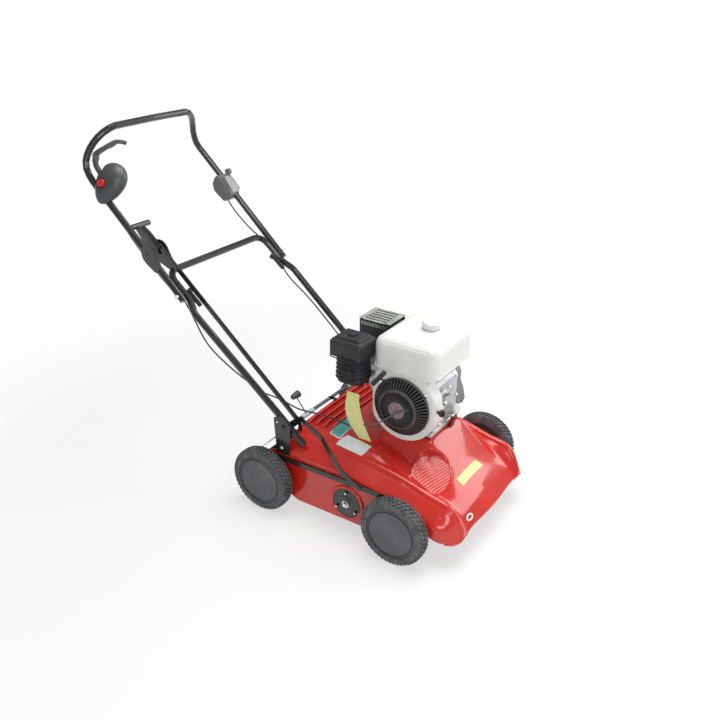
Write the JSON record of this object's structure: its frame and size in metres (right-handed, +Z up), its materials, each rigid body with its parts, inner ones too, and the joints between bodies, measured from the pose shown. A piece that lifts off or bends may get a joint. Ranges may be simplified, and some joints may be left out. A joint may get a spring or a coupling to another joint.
{
  "type": "lawn aerator",
  "caption": "Petrol lawn aerator with a sloping pressed deck on four wheels, a tined rotor under it, a small engine on top and a folding tubular handle.",
  "frame": {"origin": "on the ground under the middle of the overall box", "axes": "+Z up, -Y is the front of the machine and +Y the operator's end, +X is the operator's left"},
  "size_m": [0.658, 1.4306, 1.155],
  "materials": {
    "red_paint": "glossy red enamel on pressed sheet steel",
    "black_paint": "satin black powder coat on steel",
    "white_paint": "gloss white enamel on sheet steel",
    "white_tank": "gloss white",
    "grey_paint": "satin grey paint on sheet steel",
    "cast_aluminium": "as cast, bead blasted",
    "steel": "bright steel",
    "rubber": "matt black rubber",
    "grey_plastic": "fine grained dark grey moulding",
    "black_plastic": "satin black moulding",
    "pale_plastic": "pale grey-blue sheet",
    "red_plastic": "red moulding",
    "cable_jacket": "black extruded jacket",
    "card": "plain yellow card"
  },
  "bodies": {
    "frame": {"deck_shell": "red_paint", "rear_bar": "black_paint", "handle_bracket_right": "black_paint", "handle_bracket_left": "black_paint", "lower_handle": "black_paint", "crankcase": "cast_aluminium", "cylinder_head": "cast_aluminium", "blower_housing": "white_paint", "recoil_cover": "black_plastic", "fuel_tank": "white_tank", "air_cleaner_cover": "black_plastic", "air_cleaner_base": "black_plastic", "carburettor": "cast_aluminium", "muffler": "steel", "muffler_guard": "black_paint", "oil_cap": "grey_plastic", "belt_guard": "grey_paint", "drive_belt": "rubber", "bearing_flange_right": "black_paint", "bearing_flange_left": "black_paint", "fold_bolt_right": "steel", "fold_bolt_left": "steel", "hang_tag": "card", "clutch_cable_lower": "cable_jacket", "throttle_cable_lower": "cable_jacket"},
    "front_axle": {"front_axle": "steel"},
    "rear_axle": {"rear_axle": "steel"},
    "front_right_wheel": {"front_right_tyre": "rubber", "front_right_rim": "grey_plastic"},
    "front_left_wheel": {"front_left_tyre": "rubber", "front_left_rim": "grey_plastic"},
    "rear_right_wheel": {"rear_right_tyre": "rubber", "rear_right_rim": "grey_plastic"},
    "rear_left_wheel": {"rear_left_tyre": "rubber", "rear_left_rim": "grey_plastic"},
    "links": {"tie_bar": "black_paint", "pull_link": "black_paint"},
    "adjust_crank": {"adjust_crank": "black_paint"},
    "adjust_rod": {"adjust_rod": "black_paint"},
    "height_lever": {"height_lever": "grey_plastic"},
    "rear_flap": {"rear_flap": "pale_plastic"},
    "upper_handle": {"upper_handle": "black_paint", "opc_housing": "grey_plastic", "throttle_box": "grey_plastic", "lever_quadrant": "grey_plastic", "clutch_cable_upper": "cable_jacket", "throttle_cable_upper": "cable_jacket"},
    "opc_lever": {"opc_lever": "black_plastic"},
    "stop_button": {"stop_button": "red_plastic"},
    "throttle_lever": {"throttle_lever": "grey_plastic"},
    "clamp_lever_right": {"clamp_lever_right": "black_plastic"},
    "clamp_lever_left": {"clamp_lever_left": "black_plastic"},
    "rotor": {"rotor_shaft": "steel", "tines": "steel", "driven_pulley": "cast_aluminium"},
    "crankshaft": {"crankshaft": "steel", "drive_pulley": "cast_aluminium"},
    "fuel_cap": {"fuel_cap": "grey_plastic"},
    "stop_switch": {"stop_switch": "grey_plastic"},
    "recoil_grip": {"recoil_grip": "black_plastic"}
  },
  "joints": [
    {"name": "front_axle_turn", "type": "hinge", "parent": "frame", "child": "front_axle", "pos_m": [0, -0.49125, 0.15], "axis": [1, 0, 0], "range_deg": [-24, 16]},
    {"name": "rear_axle_turn", "type": "hinge", "parent": "frame", "child": "rear_axle", "pos_m": [0, 0.00875, 0.15], "axis": [1, 0, 0], "range_deg": [-24, 16]},
    {"name": "front_right_wheel_spin", "type": "hinge", "parent": "front_axle", "child": "front_right_wheel", "pos_m": [-0.3045, -0.53125, 0.11], "axis": [1, 0, 0], "continuous": true},
    {"name": "front_left_wheel_spin", "type": "hinge", "parent": "front_axle", "child": "front_left_wheel", "pos_m": [0.3045, -0.53125, 0.11], "axis": [1, 0, 0], "continuous": true},
    {"name": "rear_right_wheel_spin", "type": "hinge", "parent": "rear_axle", "child": "rear_right_wheel", "pos_m": [-0.3045, -0.03125, 0.11], "axis": [1, 0, 0], "continuous": true},
    {"name": "rear_left_wheel_spin", "type": "hinge", "parent": "rear_axle", "child": "rear_left_wheel", "pos_m": [0.3045, -0.03125, 0.11], "axis": [1, 0, 0], "continuous": true},
    {"name": "links_turn", "type": "hinge", "parent": "front_axle", "child": "links", "pos_m": [-0.2748, -0.54105, 0.1918], "axis": [1, 0, 0], "range_deg": [-16, 24]},
    {"name": "adjust_crank_turn", "type": "hinge", "parent": "frame", "child": "adjust_crank", "pos_m": [-0.22, -0.08625, 0.286], "axis": [1, 0, 0], "range_deg": [-24, 16]},
    {"name": "adjust_rod_turn", "type": "hinge", "parent": "adjust_crank", "child": "adjust_rod", "pos_m": [-0.2165, -0.11225, 0.312], "axis": [1, 0, 0], "range_deg": [-16, 24]},
    {"name": "height_lever_turn", "type": "hinge", "parent": "frame", "child": "height_lever", "pos_m": [-0.222, 0.46575, 0.764], "axis": [1, 0, 0], "range_deg": [-24, 16]},
    {"name": "rear_flap_lift", "type": "hinge", "parent": "frame", "child": "rear_flap", "pos_m": [0, -0.08625, 0.286], "axis": [1, 0, 0], "range_deg": [0, 60]},
    {"name": "upper_handle_fold", "type": "hinge", "parent": "frame", "child": "upper_handle", "pos_m": [0, 0.32074, 0.65488], "axis": [1, 0, 0], "range_deg": [0, 115]},
    {"name": "opc_lever_squeeze", "type": "hinge", "parent": "upper_handle", "child": "opc_lever", "pos_m": [-0.246, 0.64175, 0.998], "axis": [1, 0, 0], "range_deg": [-15, 0], "stiffness_Nm_per_rad": 0.8, "springref_deg": 20.05},
    {"name": "stop_button_press", "type": "slide", "parent": "upper_handle", "child": "stop_button", "axis": [0.8093, 0.4451, -0.3834], "range_m": [0, 0.004], "stiffness_N_per_m": 250, "springref_m": -0.002},
    {"name": "throttle_lever_turn", "type": "hinge", "parent": "upper_handle", "child": "throttle_lever", "pos_m": [0.2395, 0.55155, 0.87663], "axis": [1, 0, 0], "range_deg": [-25, 25]},
    {"name": "clamp_lever_right_open", "type": "hinge", "parent": "frame", "child": "clamp_lever_right", "pos_m": [-0.2165, 0.32074, 0.65488], "axis": [0, -0.6428, 0.766], "range_deg": [0, 100]},
    {"name": "clamp_lever_left_open", "type": "hinge", "parent": "frame", "child": "clamp_lever_left", "pos_m": [0.2165, 0.32074, 0.65488], "axis": [0, -0.6428, 0.766], "range_deg": [-100, 0]},
    {"name": "rotor_spin", "type": "hinge", "parent": "frame", "child": "rotor", "pos_m": [0, -0.33825, 0.112], "axis": [1, 0, 0], "continuous": true},
    {"name": "crankshaft_spin", "type": "hinge", "parent": "frame", "child": "crankshaft", "pos_m": [0, -0.44425, 0.427], "axis": [1, 0, 0], "continuous": true},
    {"name": "fuel_cap_turn", "type": "hinge", "parent": "frame", "child": "fuel_cap", "pos_m": [0.014, -0.45425, 0.632], "axis": [0, 0, 1], "range_deg": [0, 90]},
    {"name": "stop_switch_turn", "type": "hinge", "parent": "frame", "child": "stop_switch", "pos_m": [-0.118, -0.55925, 0.437], "axis": [0, 1, 0], "range_deg": [0, 45]},
    {"name": "recoil_grip_pull", "type": "slide", "parent": "frame", "child": "recoil_grip", "axis": [-0.6572, 0.6134, 0.4381], "range_m": [0, 0.03], "stiffness_N_per_m": 60, "springref_m": -0.02}
  ],
  "couplings": [
    {"joint": "rear_axle_turn", "follows": "front_axle_turn", "ratio": 1},
    {"joint": "links_turn", "follows": "front_axle_turn", "ratio": -1},
    {"joint": "adjust_crank_turn", "follows": "front_axle_turn", "ratio": 1},
    {"joint": "adjust_rod_turn", "follows": "front_axle_turn", "ratio": -1},
    {"joint": "height_lever_turn", "follows": "front_axle_turn", "ratio": 1},
    {"joint": "rotor_spin", "follows": "crankshaft_spin", "ratio": 0.8}
  ]
}
